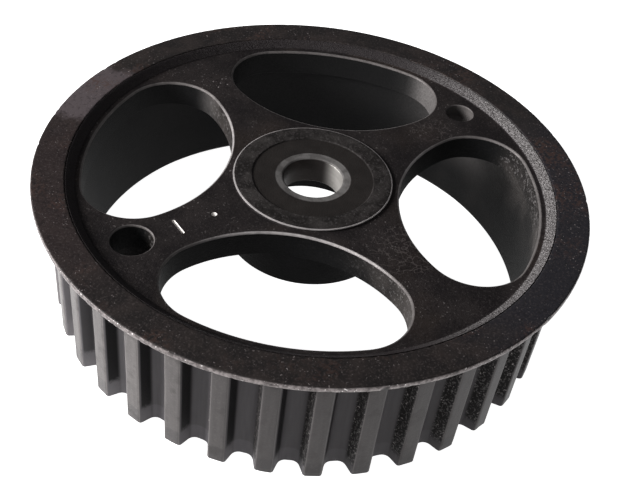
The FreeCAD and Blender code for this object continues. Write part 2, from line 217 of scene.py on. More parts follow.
# %% The bench
class Finish:
    """A material in the making. Each call adds nodes and returns their output."""

    def __init__(self, name):
        self.material = bpy.data.materials.new(name)
        self.material.use_nodes = True
        self.tree = self.material.node_tree
        self.shader = self.tree.nodes["Principled BSDF"]
        place = self.tree.nodes.new("ShaderNodeTexCoord").outputs["Object"]
        scaled = self.tree.nodes.new("ShaderNodeVectorMath")
        scaled.operation = "SCALE"
        self.tree.links.new(place, scaled.inputs[0])
        scaled.inputs["Scale"].default_value = 1 / MM
        self.place = scaled.outputs[0]
        split = self.tree.nodes.new("ShaderNodeSeparateXYZ")
        self.tree.links.new(self.place, split.inputs[0])
        self.x, self.y, self.height = split.outputs
        across = self.math("MULTIPLY", self.x, self.x)
        self.radius = self.math("SQRT", self.math("MULTIPLY_ADD", self.y, self.y, across))
        self.turn = self.math("ARCTAN2", self.y, self.x)

    def feed(self, socket, value):
        if isinstance(value, bpy.types.NodeSocket):
            self.tree.links.new(value, socket)
        else:
            socket.default_value = value

    def math(self, operation, *values, clamp=False):
        node = self.tree.nodes.new("ShaderNodeMath")
        node.operation = operation
        node.use_clamp = clamp
        for socket, value in zip(node.inputs, values):
            self.feed(socket, value)
        return node.outputs[0]

    def rise(self, value, low, high):
        """0 below low, 1 above high, and a soft step between them."""
        node = self.tree.nodes.new("ShaderNodeMapRange")
        node.interpolation_type = "SMOOTHSTEP"
        self.feed(node.inputs["Value"], value)
        node.inputs["From Min"].default_value = low
        node.inputs["From Max"].default_value = high
        return node.outputs["Result"]

    def within(self, value, low, high, soft):
        """1 between low and high, falling to 0 over a soft width outside them."""
        up = self.rise(value, low - soft, low)
        return self.math("SUBTRACT", up, self.rise(value, high, high + soft), clamp=True)

    def both(self, *masks):
        result = masks[0]
        for mask in masks[1:]:
            result = self.math("MULTIPLY", result, mask)
        return result

    def outside(self, mask):
        """1 where the mask is 0, and 0 where it is 1."""
        return self.math("SUBTRACT", 1.0, mask)

    def away_from(self, x, y):
        """The distance, seen from the front, from a place given in millimetres."""
        across = self.math("POWER", self.math("SUBTRACT", self.x, x), 2.0)
        along = self.math("POWER", self.math("SUBTRACT", self.y, y), 2.0)
        return self.math("SQRT", self.math("ADD", across, along))

    def grain(self, size, detail=2.0, seed=0.0, place=None):
        """A cloudy pattern from 0 to 1 whose lumps are about size millimetres."""
        node = self.tree.nodes.new("ShaderNodeTexNoise")
        node.noise_dimensions = "4D"
        self.feed(node.inputs["Vector"], place or self.place)
        node.inputs["W"].default_value = seed
        node.inputs["Scale"].default_value = 1 / size
        node.inputs["Detail"].default_value = detail
        return node.outputs[0]

    def vector(self, x, y, z):
        node = self.tree.nodes.new("ShaderNodeCombineXYZ")
        for socket, value in zip(node.inputs, (x, y, z)):
            self.feed(socket, value)
        return node.outputs[0]

    def tint(self, mask, below, above):
        """The colour below, covered by the colour above where the mask is 1."""
        node = self.tree.nodes.new("ShaderNodeMix")
        node.data_type = "RGBA"
        self.feed(node.inputs["Factor"], mask)
        for socket, value in ((node.inputs[6], below), (node.inputs[7], above)):
            if isinstance(value, tuple):
                value = (*value, 1.0)
            self.feed(socket, value)
        return node.outputs[2]

    def level(self, mask, below, above):
        """The number below, replaced by the number above where the mask is 1."""
        node = self.tree.nodes.new("ShaderNodeMix")
        self.feed(node.inputs["Factor"], mask)
        self.feed(node.inputs[2], below)
        self.feed(node.inputs[3], above)
        return node.outputs[0]

    def relief(self, height, depth):
        """Small unevenness of the surface: height from 0 to 1, depth in millimetres."""
        node = self.tree.nodes.new("ShaderNodeBump")
        node.inputs["Strength"].default_value = 1.0
        node.inputs["Distance"].default_value = depth * MM
        self.feed(node.inputs["Height"], height)
        return node.outputs[0]

    def finish(self, colour, roughness, metal, normal):
        self.feed(self.shader.inputs["Base Color"], colour)
        self.feed(self.shader.inputs["Roughness"], roughness)
        self.feed(self.shader.inputs["Metallic"], metal)
        self.feed(self.shader.inputs["Normal"], normal)
        return self.material


print("the bench is ready")

# %% [markdown]
# ## Sintered steel, blackened and worn
#
# Sintered iron is blackened in steam, which leaves a nearly black, brownish skin over
# grains of a fifth of a millimetre. Wear then opens it up: the belt polishes the
# lands and roots of the teeth to grey, one flank of each tooth keeps dry soot and the
# other is rubbed black, the edges of the windows go bright, and the bolt's washer
# burnishes a ring round the bore. Painted light is laid over this: the rubbed flanks,
# the lands and the roots get painted shade or light by their side of the wheel, the
# bright edges are partly painted highlight, the slope and the bore carry painted shade on
# the left, and walls that face the key light on the left are painted lit grey while the
# others get painted shade. Each of these is a mask made from radius, height
# and angle, laid over the skin one after the other.

# %% The skin and its grain
steel = Finish("blackened_sinter")
fine = steel.grain(0.16, 2.0, 1.0)
coarse = steel.grain(0.55, 3.0, 2.0)
clouds = steel.grain(7.0, 3.0, 3.0)
patches = steel.grain(16.0, 2.0, 4.0)
middle = steel.grain(0.42, 2.0, 10.0)
specks = steel.rise(steel.grain(0.45, 1.0, 5.0), 0.67, 0.73)
skin = steel.tint(steel.rise(clouds, 0.35, 0.7), (0.0075, 0.0062, 0.0065), (0.016, 0.0132, 0.013))
skin = steel.tint(steel.rise(patches, 0.5, 0.75), skin, (0.0175, 0.0132, 0.0115))
skin = steel.tint(steel.both(steel.rise(middle, 0.5, 0.72), 0.6), skin, (0.030, 0.0262, 0.0255))
pores = steel.level(steel.rise(coarse, 0.3, 0.46), 0.45, 1.0)
skin = steel.tint(pores, (0.0035, 0.003, 0.0032), skin)
skin = steel.tint(steel.both(specks, steel.rise(clouds, 0.4, 0.62), 0.6), skin, (0.13, 0.118, 0.115))
print("skin and specks laid down")

# %% [markdown]
# ### The teeth
#
# The angle, counted in teeth, tells where a point lies within its own pitch: zero on
# a tooth's middle line, negative on its clockwise side and positive on the other.

# %% Wear and painted light on the teeth
pitches = steel.math("MULTIPLY_ADD", steel.turn, TOOTH_COUNT / (2 * math.pi),
                     -math.radians(FIRST_TOOTH) * TOOTH_COUNT / (2 * math.pi) + TOOTH_COUNT)
side = steel.math("SUBTRACT", pitches, steel.math("ROUND", pitches))
toothing = steel.both(steel.rise(steel.radius, COLLAR + 0.02, COLLAR + 0.12),
                      steel.outside(steel.rise(steel.height, FACE - 0.01, FACE)))
land = steel.both(toothing, steel.rise(steel.radius, TIP - 0.28, TIP - 0.08))
root = steel.both(toothing, steel.outside(steel.rise(steel.radius, ROOT + 0.45, ROOT + 1.1)))
belt_band = steel.rise(steel.height, 3.9, 4.5)
flanks = steel.both(toothing, steel.outside(land), steel.outside(root))
rubbed_and_shaded_flank = steel.both(flanks, steel.rise(side, 0.05, 0.15),
                    steel.outside(steel.rise(steel.radius, TIP - 0.6, TIP - 0.3)),
                    steel.rise(steel.math("MULTIPLY_ADD", coarse, 2.0, steel.height), 4.6, 6.4))
sooty = steel.both(flanks, steel.rise(steel.math("MULTIPLY", side, -1.0), 0.05, 0.15),
                   steel.rise(steel.math("MULTIPLY_ADD", coarse, 2.0, steel.height), 2.6, 5.0))
stripes = steel.grain(1.0, 3.0, 6.0, steel.vector(
    steel.math("MULTIPLY", steel.turn, 70.0), steel.math("MULTIPLY", steel.height, 0.12), 0.0))
land_wear_and_shade = steel.tint(stripes, (0.060, 0.055, 0.054), (0.115, 0.106, 0.104))
land_wear_and_shade = steel.tint(belt_band, steel.tint(stripes, (0.050, 0.046, 0.046), (0.085, 0.079, 0.079)), land_wear_and_shade)
land_wear_and_shade = steel.tint(steel.both(steel.rise(middle, 0.5, 0.7), 0.35), land_wear_and_shade, (0.14, 0.128, 0.124))
corner = steel.within(steel.math("ABSOLUTE", side), 0.168, 0.2, 0.015)
land_wear_and_shade = steel.tint(steel.both(corner, 0.6), land_wear_and_shade, (0.19, 0.175, 0.172))
# Painted shade: the lands on the right half, away from the key light, are darkened.
land_wear_and_shade = steel.tint(steel.both(steel.rise(steel.x, -32.0, -4.0), 0.68), land_wear_and_shade, (0.022, 0.020, 0.0205))
valley_and_painted_light = steel.tint(stripes, (0.040, 0.037, 0.039), (0.072, 0.067, 0.070))
valley_and_painted_light = steel.tint(belt_band, steel.tint(stripes, (0.055, 0.051, 0.055), (0.09, 0.084, 0.089)), valley_and_painted_light)
soot = steel.tint(steel.rise(middle, 0.52, 0.64), (0.007, 0.0062, 0.0062), (0.062, 0.058, 0.057))
soot = steel.tint(specks, soot, (0.25, 0.23, 0.225))
smudge = steel.rise(steel.grain(3.2, 3.0, 18.0), 0.5, 0.66)
land_wear_and_shade = steel.tint(steel.both(smudge, 0.4), land_wear_and_shade, (0.024, 0.021, 0.0205))
# Painted light: the roots on the far left, which face the key light, are painted lighter.
valley_and_painted_light = steel.tint(steel.outside(steel.rise(steel.x, -44.0, -20.0)), valley_and_painted_light,
                    steel.tint(stripes, (0.13, 0.122, 0.128), (0.19, 0.18, 0.187)))
# Painted shade: the roots on the right are painted darker.
valley_and_painted_light = steel.tint(steel.both(steel.rise(steel.x, -8.0, 8.0), 0.45), valley_and_painted_light, (0.028, 0.026, 0.0272))
colour = steel.tint(land, skin, land_wear_and_shade)
colour = steel.tint(root, colour, valley_and_painted_light)
colour = steel.tint(steel.both(flanks, 0.85), colour, valley_and_painted_light)
# The rubbed flanks are painted near black except on the far left: partly real rubbing, partly painted shade
# where they face away from the key light.
colour = steel.tint(steel.both(rubbed_and_shaded_flank, steel.rise(steel.x, -50.0, -34.0)), colour, (0.0062, 0.0056, 0.006))
colour = steel.tint(sooty, colour, soot)
print("toothing worn in", TOOTH_COUNT, "places")

# %% [markdown]
# ### Slope, hub and bore
#
# The slope beside the flange is open, sandy grain, with painted light: bright on the right
# and painted shade on the left. The hub's ring is grey and rough, the seat inside it smoother.
# The bore and the narrow ring round it were turned on a lathe, so they carry fine rings and
# shine, and the bore's left side carries painted shade.

# %% Wear, grain and painted light on the slope and the hub
front_side = steel.rise(steel.height, WEB_REAR + 0.3, WEB_REAR + 0.6)
slope = steel.both(steel.within(steel.radius, SLOPE_FOOT + 0.15, COLLAR - 0.1, 0.15),
                   steel.rise(steel.height, WEB_FRONT + 0.05, WEB_FRONT + 0.2))
sand_and_painted_light = steel.tint(steel.rise(fine, 0.42, 0.66), (0.022, 0.0195, 0.019), (0.25, 0.235, 0.235))
# Painted light: the slope's sand is bright only on the right, where it faces the key light, and dark on the
# left.
painted_lit_side = steel.rise(steel.math("COSINE", steel.math("SUBTRACT", steel.turn, 0.04)), 0.3, 0.9)
sand_and_painted_light = steel.tint(painted_lit_side, steel.tint(middle, (0.011, 0.0092, 0.0096), (0.030, 0.0255, 0.0262)), sand_and_painted_light)
colour = steel.tint(slope, colour, sand_and_painted_light)
ring = steel.both(steel.within(steel.radius, SEAT_RADIUS, RING_RADIUS, 0.1),
                  steel.rise(steel.height, WEB_FRONT + 0.1, WEB_FRONT + 0.25))
ring_clouds = steel.grain(2.6, 3.0, 16.0)
ring_grain = steel.tint(steel.rise(ring_clouds, 0.35, 0.7), (0.009, 0.0078, 0.0075),
                        (0.025, 0.0222, 0.0214))
ring_grain = steel.tint(steel.both(steel.rise(middle, 0.5, 0.7), 0.45), ring_grain, (0.06, 0.055, 0.054))
colour = steel.tint(ring, colour, ring_grain)
seat = steel.both(steel.within(steel.radius, 8.0, SEAT_RADIUS - 0.1, 0.1), front_side)
colour = steel.tint(seat, colour, steel.tint(ring_clouds, (0.008, 0.0068, 0.0064), (0.021, 0.0182, 0.017)))
burnish = steel.both(steel.within(steel.radius, 6.35, 7.7, 0.3), front_side)
burnish = steel.both(burnish, steel.level(steel.rise(ring_clouds, 0.4, 0.6), 0.45, 1.0))
colour = steel.tint(burnish, colour, (0.15, 0.142, 0.138))
bore = steel.both(steel.outside(steel.rise(steel.radius, BORE_RADIUS + 0.06, BORE_RADIUS + 0.2)),
                  steel.rise(steel.height, WEB_REAR - 1, WEB_REAR))
turned = steel.grain(1.0, 2.0, 7.0, steel.vector(0.0, 0.0, steel.math("MULTIPLY", steel.height, 3.0)))
bore_rings_and_painted_shade = steel.tint(turned, (0.17, 0.16, 0.15), (0.42, 0.40, 0.38))
# Painted shade: the bore is painted dark on its left and keeps its bright rings only on the right.
bore_rings_and_painted_shade = steel.tint(painted_lit_side, (0.022, 0.019, 0.018), bore_rings_and_painted_shade)
colour = steel.tint(bore, colour, bore_rings_and_painted_shade)
print("slope, ring, seat and bore done")

# %% [markdown]
# ### Window edges and walls
#
# The rounded front edges of the windows and holes lie in a layer of half a millimetre
# just under the web's face. Apart from the line and the dot, nothing else does, so the
# height alone picks them out; their bright tone is partly wear, partly painted highlight.
# Walls that face left, towards the key light, are painted lit grey, and the others get
# painted shade.

# %% Wear and painted light on the edges and walls
web_zone = steel.within(steel.radius, 17.0, RIM_WALL + 0.1, 0.3)
edges = steel.both(web_zone, steel.within(steel.height, WEB_FRONT - 0.42, WEB_FRONT - 0.05, 0.05))
# Painted highlight: the hub ring's outer edge is painted bright all round.
ring_edge = steel.both(steel.within(steel.radius, RING_RADIUS - 0.24, RING_RADIUS + 0.1, 0.06),
                       steel.rise(steel.height, WEB_FRONT + 0.3, WEB_FRONT + 0.4))
edges = steel.math("MAXIMUM", edges, ring_edge)
# The window and hole edges are painted bright metal: partly rubbed wear, partly painted highlight.
rubbed_and_highlit_edge = steel.both(edges, steel.level(steel.grain(1.6, 2.0, 9.0), 0.25, 1.0))
# Painted highlight: edges near the hub get the brighter tone.
hubward = steel.outside(steel.rise(steel.radius, 22.0, 34.0))
edge_metal_and_highlight = steel.tint(hubward, (0.15, 0.137, 0.134), (0.42, 0.39, 0.385))
colour = steel.tint(rubbed_and_highlit_edge, colour, edge_metal_and_highlight)
# Painted light: walls whose face points left, towards the key light, get the lit wall tone, and lower down
# they darken as painted shade.
facing = steel.tree.nodes.new("ShaderNodeSeparateXYZ")
steel.tree.links.new(steel.tree.nodes["Texture Coordinate"].outputs["Normal"], facing.inputs[0])
painted_lit_facing = steel.rise(steel.math("MULTIPLY", facing.outputs[0], -1.0), 0.3, 0.85)
walls = steel.both(web_zone, steel.within(steel.height, WEB_REAR, WEB_FRONT - 0.5, 0.05))
inner = steel.both(steel.within(steel.radius, RIM_WALL - 0.1, RIM_WALL + 0.4, 0.1),
                   steel.outside(steel.rise(steel.height, WEB_REAR - 0.2, WEB_REAR)))
walls = steel.math("MAXIMUM", walls, inner)
depth = steel.level(steel.rise(steel.height, 8.0, WEB_FRONT), 0.12, 1.0)
wall_tone = steel.tint(steel.rise(clouds, 0.36, 0.66), (0.007, 0.0060, 0.0056), (0.030, 0.0262, 0.0245))
chips = steel.both(steel.rise(coarse, 0.52, 0.7), steel.rise(steel.height, 17.0, WEB_FRONT), 0.8)
wall_tone = steel.tint(chips, wall_tone, (0.115, 0.107, 0.105))
far_end = steel.both(steel.rise(steel.y, 20.0, 30.0), steel.rise(steel.height, 8.0, 20.0))
wall_tone = steel.tint(far_end, wall_tone, steel.tint(middle, (0.035, 0.032, 0.031), (0.13, 0.121, 0.119)))
lit_wall = steel.level(steel.both(painted_lit_facing, depth), 0.04, 1.0)
# Painted shade: all other walls are painted near black.
colour = steel.tint(walls, colour, steel.tint(lit_wall, (0.0016, 0.0017, 0.0019), wall_tone))
# Painted shade: the rear boss's outer wall, under the web, is painted near black.
boss_painted_shade = steel.both(steel.outside(steel.rise(steel.radius, BOSS_RADIUS + 0.6, BOSS_RADIUS + 1.0)),
                  steel.outside(steel.rise(steel.height, WEB_REAR - 0.4, WEB_REAR - 0.2)),
                  steel.rise(steel.radius, 12.6, 12.9))
colour = steel.tint(boss_painted_shade, colour, (0.0022, 0.0021, 0.0023))


def near(x, y, reach):
    """1 close to a place on the web's face, 0 beyond it."""
    return steel.outside(steel.rise(steel.away_from(x, y), reach * 0.8, reach))


def polar(out, angle):
    """The x and y of a place given by its distance from the axis and its angle."""
    return out * math.cos(math.radians(angle)), out * math.sin(math.radians(angle))


marks = steel.math("MAXIMUM", near(*polar(*DOT_PLACE), 0.72), near(*polar(*LINE_PLACE), 2.5))
cut_marks = steel.both(marks,
                       steel.within(steel.height, WEB_FRONT - 0.45, WEB_FRONT - 0.03, 0.02))
colour = steel.tint(cut_marks, colour, (0.55, 0.52, 0.5))
blind_hole = steel.both(near(*polar(*BLIND_HOLE), 3.6), steel.outside(steel.rise(
    steel.height, WEB_FRONT - 0.5, WEB_FRONT - 0.25)))
colour = steel.tint(blind_hole, colour, (0.07, 0.064, 0.062))
hair = steel.math("ABSOLUTE", steel.math("SUBTRACT", steel.grain(1.5, 1.0, 17.0), 0.5))
scuffs = steel.both(steel.outside(steel.rise(hair, 0.012, 0.03)),
                    steel.math("MAXIMUM", near(19.5, -18.5, 7.5), near(24.0, 22.5, 5.0)),
                    steel.rise(steel.height, WEB_FRONT - 0.02, WEB_FRONT - 0.01), 0.55)
colour = steel.tint(scuffs, colour, (0.055, 0.047, 0.045))
print("edges and walls done")

# %% [markdown]
# ### Roughness, metal and relief
#
# Roughness follows the same masks. Only bare metal is metallic: the bore, the
# burnished ring, the worn edges and, in part, the lands. The relief mixes coarse and
# fine grain, and is strongest on the slope.

# %% Put the sintered steel together
bare = steel.math("MAXIMUM", steel.both(bore, 0.6), steel.both(burnish, 0.5))
bare = steel.math("MAXIMUM", bare, steel.both(rubbed_and_highlit_edge, 0.45))
bare = steel.math("MAXIMUM", bare, steel.both(land, 0.25))
rough = steel.level(fine, 0.48, 0.72)
rough = steel.level(land, rough, 0.42)
rough = steel.level(root, rough, 0.55)
rough = steel.level(seat, rough, 0.42)
rough = steel.level(bare, rough, 0.3)
rough = steel.level(slope, rough, 0.5)
smooth = steel.math("MAXIMUM", steel.both(toothing, 0.75), steel.both(bare, 0.9))
sandy = steel.math("MULTIPLY_ADD", coarse, 0.6, fine)
sandy = steel.both(sandy, steel.outside(smooth))
sandy = steel.both(sandy, steel.math("MULTIPLY_ADD", slope, 1.2, 1.0))
steel.shader.inputs["Specular IOR Level"].default_value = 0.07
SINTER = steel.finish(colour, rough, bare, steel.relief(sandy, 0.10))
print("blackened sinter has", len(steel.tree.nodes), "nodes")

# %% [markdown]
# ## The rim, repeated by Geometry Nodes
#
# The rim follows a rule, one slice turned round the axis, so Geometry Nodes repeat it:
# a row of points, all on the axis, carries one instance of the slice each, and each
# instance is turned by its own number times the pitch angle. The instances are made
# real and their touching edges are merged. The count and the angle of the first tooth
# stay inputs of the tree, so another pulley only needs other numbers.

# %% A tree that turns one slice into a rim
def rim_tree():
    tree = bpy.data.node_groups.new("toothed_rim", "GeometryNodeTree")
    face = tree.interface
    face.new_socket("Geometry", in_out="INPUT", socket_type="NodeSocketGeometry")
    face.new_socket("Tooth Count", in_out="INPUT", socket_type="NodeSocketInt")
    face.new_socket("First Tooth", in_out="INPUT", socket_type="NodeSocketFloat")
    face.new_socket("Merge Distance", in_out="INPUT", socket_type="NodeSocketFloat")
    face.new_socket("Finish", in_out="INPUT", socket_type="NodeSocketMaterial")
    face.new_socket("Geometry", in_out="OUTPUT", socket_type="NodeSocketGeometry")
    put, link = tree.nodes.new, tree.links.new
    given, result = put("NodeGroupInput"), put("NodeGroupOutput")
    spots = put("GeometryNodePoints")
    link(given.outputs["Tooth Count"], spots.inputs["Count"])
    step = put("ShaderNodeMath")
    step.operation = "DIVIDE"
    step.inputs[0].default_value = 2 * math.pi
    link(given.outputs["Tooth Count"], step.inputs[1])
    angle = put("ShaderNodeMath")
    angle.operation = "MULTIPLY_ADD"
    link(put("GeometryNodeInputIndex").outputs[0], angle.inputs[0])
    link(step.outputs[0], angle.inputs[1])
    link(given.outputs["First Tooth"], angle.inputs[2])
    turned_by = put("ShaderNodeCombineXYZ")
    link(angle.outputs[0], turned_by.inputs["Z"])
    copies = put("GeometryNodeInstanceOnPoints")
    link(spots.outputs[0], copies.inputs["Points"])
    link(given.outputs["Geometry"], copies.inputs["Instance"])
    link(turned_by.outputs[0], copies.inputs["Rotation"])
    real = put("GeometryNodeRealizeInstances")
    link(copies.outputs[0], real.inputs[0])
    merged = put("GeometryNodeMergeByDistance")
    link(real.outputs[0], merged.inputs["Geometry"])
    link(given.outputs["Merge Distance"], merged.inputs["Distance"])
    finish = put("GeometryNodeSetMaterial")
    link(merged.outputs[0], finish.inputs["Geometry"])
    link(given.outputs["Finish"], finish.inputs["Material"])
    link(finish.outputs[0], result.inputs[0])
    return tree


def evaluated_copy(thing, values, tree, name):
    """Run a tree on an object and return the result as a plain mesh."""
    worker = thing.modifiers.new("nodes", "NODES")
    worker.node_group = tree
    for item in tree.interface.items_tree:
        if item.in_out == "INPUT" and item.name in values:
            worker[item.identifier] = values[item.name]
    thing.update_tag()
    graph = bpy.context.evaluated_depsgraph_get()
    mesh = bpy.data.meshes.new_from_object(thing.evaluated_get(graph))
    mesh.name = name
    thing.modifiers.remove(worker)
    return mesh


rim_mesh = evaluated_copy(slice_object, {
    "Tooth Count": TOOTH_COUNT, "First Tooth": math.radians(FIRST_TOOTH),
    "Merge Distance": 0.004 * MM, "Finish": SINTER,
}, rim_tree(), "toothed_rim")
bpy.data.objects.remove(slice_object)
print("the rim has", len(rim_mesh.vertices), "points and", len(rim_mesh.polygons), "faces")

# %% [markdown]
# ## The web and its windows
#
# The web is a flat plate with four windows, two holes and a few marks. Cutting them
# with booleans would leave long thin triangles and no rounded edges. Instead each
# opening is drawn as a closed loop, offset outwards for its rounded edge, and the
# plate between all the loops is filled by a constrained triangulation, which uses
# exactly the points that it is given. That is why the web meets the rim without a gap.

# %% Loops, walls and plates
shell = bmesh.new()


def loop(corners, level):
    """A closed row of points at one height, from millimetres."""
    return [shell.verts.new((x * MM, y * MM, level * MM)) for x, y in corners]


def wall(first, second):
    """A band of four-sided faces between two loops of the same length."""
    for i in range(len(first)):
        j = (i + 1) % len(first)
        shell.faces.new((first[i], first[j], second[j], second[i]))


def cap(rim, level):
    """Close a loop with a fan round one middle point."""
    x = sum(v.co.x for v in rim) / len(rim)
    y = sum(v.co.y for v in rim) / len(rim)
    middle = shell.verts.new((x, y, level * MM))
    for i in range(len(rim)):
        shell.faces.new((rim[i], rim[(i + 1) % len(rim)], middle))


def surrounds(rim, x, y):
    """Whether a closed row of points goes round a place."""
    odd = False
    for (x1, y1), (x2, y2) in zip(rim, rim[1:] + rim[:1]):
        if (y1 > y) != (y2 > y) and x < x1 + (y - y1) * (x2 - x1) / (y2 - y1):
            odd = not odd
    return odd


def plate(outer, openings):
    """Fill the flat area between an outer loop and the openings inside it."""
    points, edges, rims = [], [], []
    for item in [outer] + openings:
        start = len(points)
        points += item
        edges += [(start + i, start + (i + 1) % len(item)) for i in range(len(item))]
        rims.append([(v.co.x / MM, v.co.y / MM) for v in item])
    flat = [Vector(place) for rim in rims for place in rim]
    where, _, faces, source = delaunay_2d_cdt(flat, edges, [], 0, 1e-5)[:4]
    area = 0.0
    for a, b, c in faces:
        middle = (where[a] + where[b] + where[c]) / 3
        if any(surrounds(rim, *middle) for rim in rims[1:]):
            continue
        shell.faces.new([points[source[i][0]] for i in (a, b, c)])
        area += abs((where[b] - where[a]).cross(where[c] - where[a])) / 2
    return area


def circle(radius, count, place=0.0, angle=0.0):
    """A circle's points, its middle at a polar place."""
    cx, cy = place * math.cos(math.radians(angle)), place * math.sin(math.radians(angle))
    return [(cx + radius * math.cos(2 * math.pi * i / count),
             cy + radius * math.sin(2 * math.pi * i / count)) for i in range(count)]


def turned(points, angle):
    """The points turned round the axis by an angle in degrees."""
    c, s = math.cos(math.radians(angle)), math.sin(math.radians(angle))
    return [(x * c - y * s, x * s + y * c) for x, y in points]


def turned_wall(profile, count, place=0.0, angle=0.0):
    """A turned surface from (radius, height) pairs; returns its first and last loop."""
    loops = [loop(circle(radius, count, place, angle), level) for radius, level in profile]
    for first, second in zip(loops, loops[1:]):
        wall(first, second)
    return loops[0], loops[-1]


print("helpers ready")

# %% [markdown]
# ### The windows
#
# All four windows have one outline of four arcs that run smoothly into each other: a
# long arc along the rim, two round ends, and a flatter arc that faces the hub. Because
# each arc keeps its centre when the outline is offset, the rounded edge is exact.

# %% Four windows with rounded front edges
WINDOW_ANGLES = {"lower": -93.4, "right": -3.1, "upper": 86.8, "left": 173.3}
WINDOW_OUTER = RIM_WALL - 1.0
WINDOW_INNER = RING_RADIUS + 1.6
INNER_ROUND = 28.5
END_ROUND = 10.5
EDGE_ROUND = 0.5


def window_outline(offset, angle):
    """The outline of a window, made larger all round by an offset."""
    centre = WINDOW_INNER + INNER_ROUND
    end_x = ((WINDOW_OUTER - END_ROUND) ** 2 - (INNER_ROUND - END_ROUND) ** 2
             + centre ** 2) / (2 * centre)
    end_y = math.sqrt((WINDOW_OUTER - END_ROUND) ** 2 - end_x ** 2)
    first = math.atan2(end_y, end_x)
    second = math.atan2(end_y, end_x - centre)
    arcs = [(0, 0, WINDOW_OUTER, -first, first, 72),
            (end_x, end_y, END_ROUND, first, second, 28),
            (centre, 0, INNER_ROUND, second, 2 * math.pi - second, 52),
            (end_x, -end_y, END_ROUND, 2 * math.pi - second, 2 * math.pi - first, 28)]
    points = []
    for x, y, radius, start, end, count in arcs:
        for turn in steps(start, end, count + 1)[:-1]:
            points.append((x + (radius + offset) * math.cos(turn),
                           y + (radius + offset) * math.sin(turn)))
    return turned(points, angle)


def rounded(radius):
    """Offsets and drops of a quarter round, from the face down into the wall."""
    return [(radius * (1 - math.sin(t)), radius * (1 - math.cos(t)))
            for t in steps(0, math.pi / 2, 6)]


front_loops, rear_loops = [], []
for name, angle in WINDOW_ANGLES.items():
    rows = [loop(window_outline(offset, angle), WEB_FRONT - drop)
            for offset, drop in rounded(EDGE_ROUND)]
    for level in (26.6, 24.9, WEB_REAR + 0.06):
        rows.append(loop(window_outline(0, angle), level))
    rows.append(loop(window_outline(0.05, angle), WEB_REAR))
    for first, second in zip(rows, rows[1:]):
        wall(first, second)
    front_loops.append(rows[0])
    rear_loops.append(rows[-1])
print(len(front_loops), "windows from", round(WINDOW_INNER, 2), "to", round(WINDOW_OUTER, 2), "mm")

# %% [markdown]
# ### Holes and marks on the spokes
#
# The lower left spoke has the timing pin's hole, which runs on through a boss behind
# the web, a short timing line and a punched dot. The opposite spoke has a blind hole.
# Five small pricks on the upper left spoke stand for the maker's inspection marks; they
# follow no lettering. All of them are turned surfaces, apart from the line.

# %% Timing hole, blind hole, line and dots
def hole_edge(radius, soft):
    """The rounded edge of a round hole, as (radius, height) pairs."""
    return [(radius + offset, WEB_FRONT - drop) for offset, drop in rounded(soft)]


boss_rear = WEB_REAR - 5.2
hole_front, hole_rear = turned_wall(
    hole_edge(TIMING_RADIUS, 0.3) + [
        (TIMING_RADIUS, 24.0), (TIMING_RADIUS, boss_rear + 0.2),
        (TIMING_RADIUS + 0.15, boss_rear), (5.95, boss_rear), (6.2, boss_rear + 0.25),
        (6.2, WEB_REAR - 0.1), (6.24, WEB_REAR)], 72, *TIMING_HOLE)
front_loops.append(hole_front)
rear_loops.append(hole_rear)
blind_front, blind_floor = turned_wall(
    hole_edge(BLIND_RADIUS, 0.22) + [(BLIND_RADIUS, 26.2), (2.98, 25.92), (2.65, 25.8)], 56, *BLIND_HOLE)
cap(blind_floor, 25.72)
front_loops.append(blind_front)


def timing_line(half_length, half_width):
    """A narrow slot across the spoke with round ends."""
    points = []
    for end in (1, -1):
        for turn in steps(0, math.pi, 7):
            points.append((LINE_PLACE[0] + end * half_width * math.cos(turn),
                           end * (half_length + half_width * math.sin(turn))))
    return turned(points, LINE_PLACE[1])


line_rows = [loop(timing_line(1.85, width), WEB_FRONT - drop)
             for width, drop in ((0.34, 0), (0.26, 0.08), (0.18, 0.27))]
for first, second in zip(line_rows, line_rows[1:]):
    wall(first, second)
cap(line_rows[-1], WEB_FRONT - 0.3)
front_loops.append(line_rows[0])

PRICKS = [(*DOT_PLACE, 0.6, 0.4)]
for out, angle in ((38.1, 129.0), (36.9, 127.2), (36.9, 130.9), (39.3, 127.3), (39.3, 130.7)):
    PRICKS.append((out, angle, 0.26, 0.14))
for out, angle, radius, depth in PRICKS:
    top, bottom = turned_wall([(radius, WEB_FRONT), (radius * 0.75, WEB_FRONT - depth * 0.35),
                               (radius * 0.3, WEB_FRONT - depth * 0.9)], 20, out, angle)
    cap(bottom, WEB_FRONT - depth)
    front_loops.append(top)
print(len(front_loops), "openings and marks in the front face")

# %% [markdown]
# ### The hub
#
# The hub is turned in one go: down the outside of the raised ring, over the bolt's
# seat, through the bore, round the socket that takes the camshaft's nose, and back up
# the outside of the rear boss. A lathe's profile is all it needs, so a list of radius
# and height pairs does the work of a dozen tools.

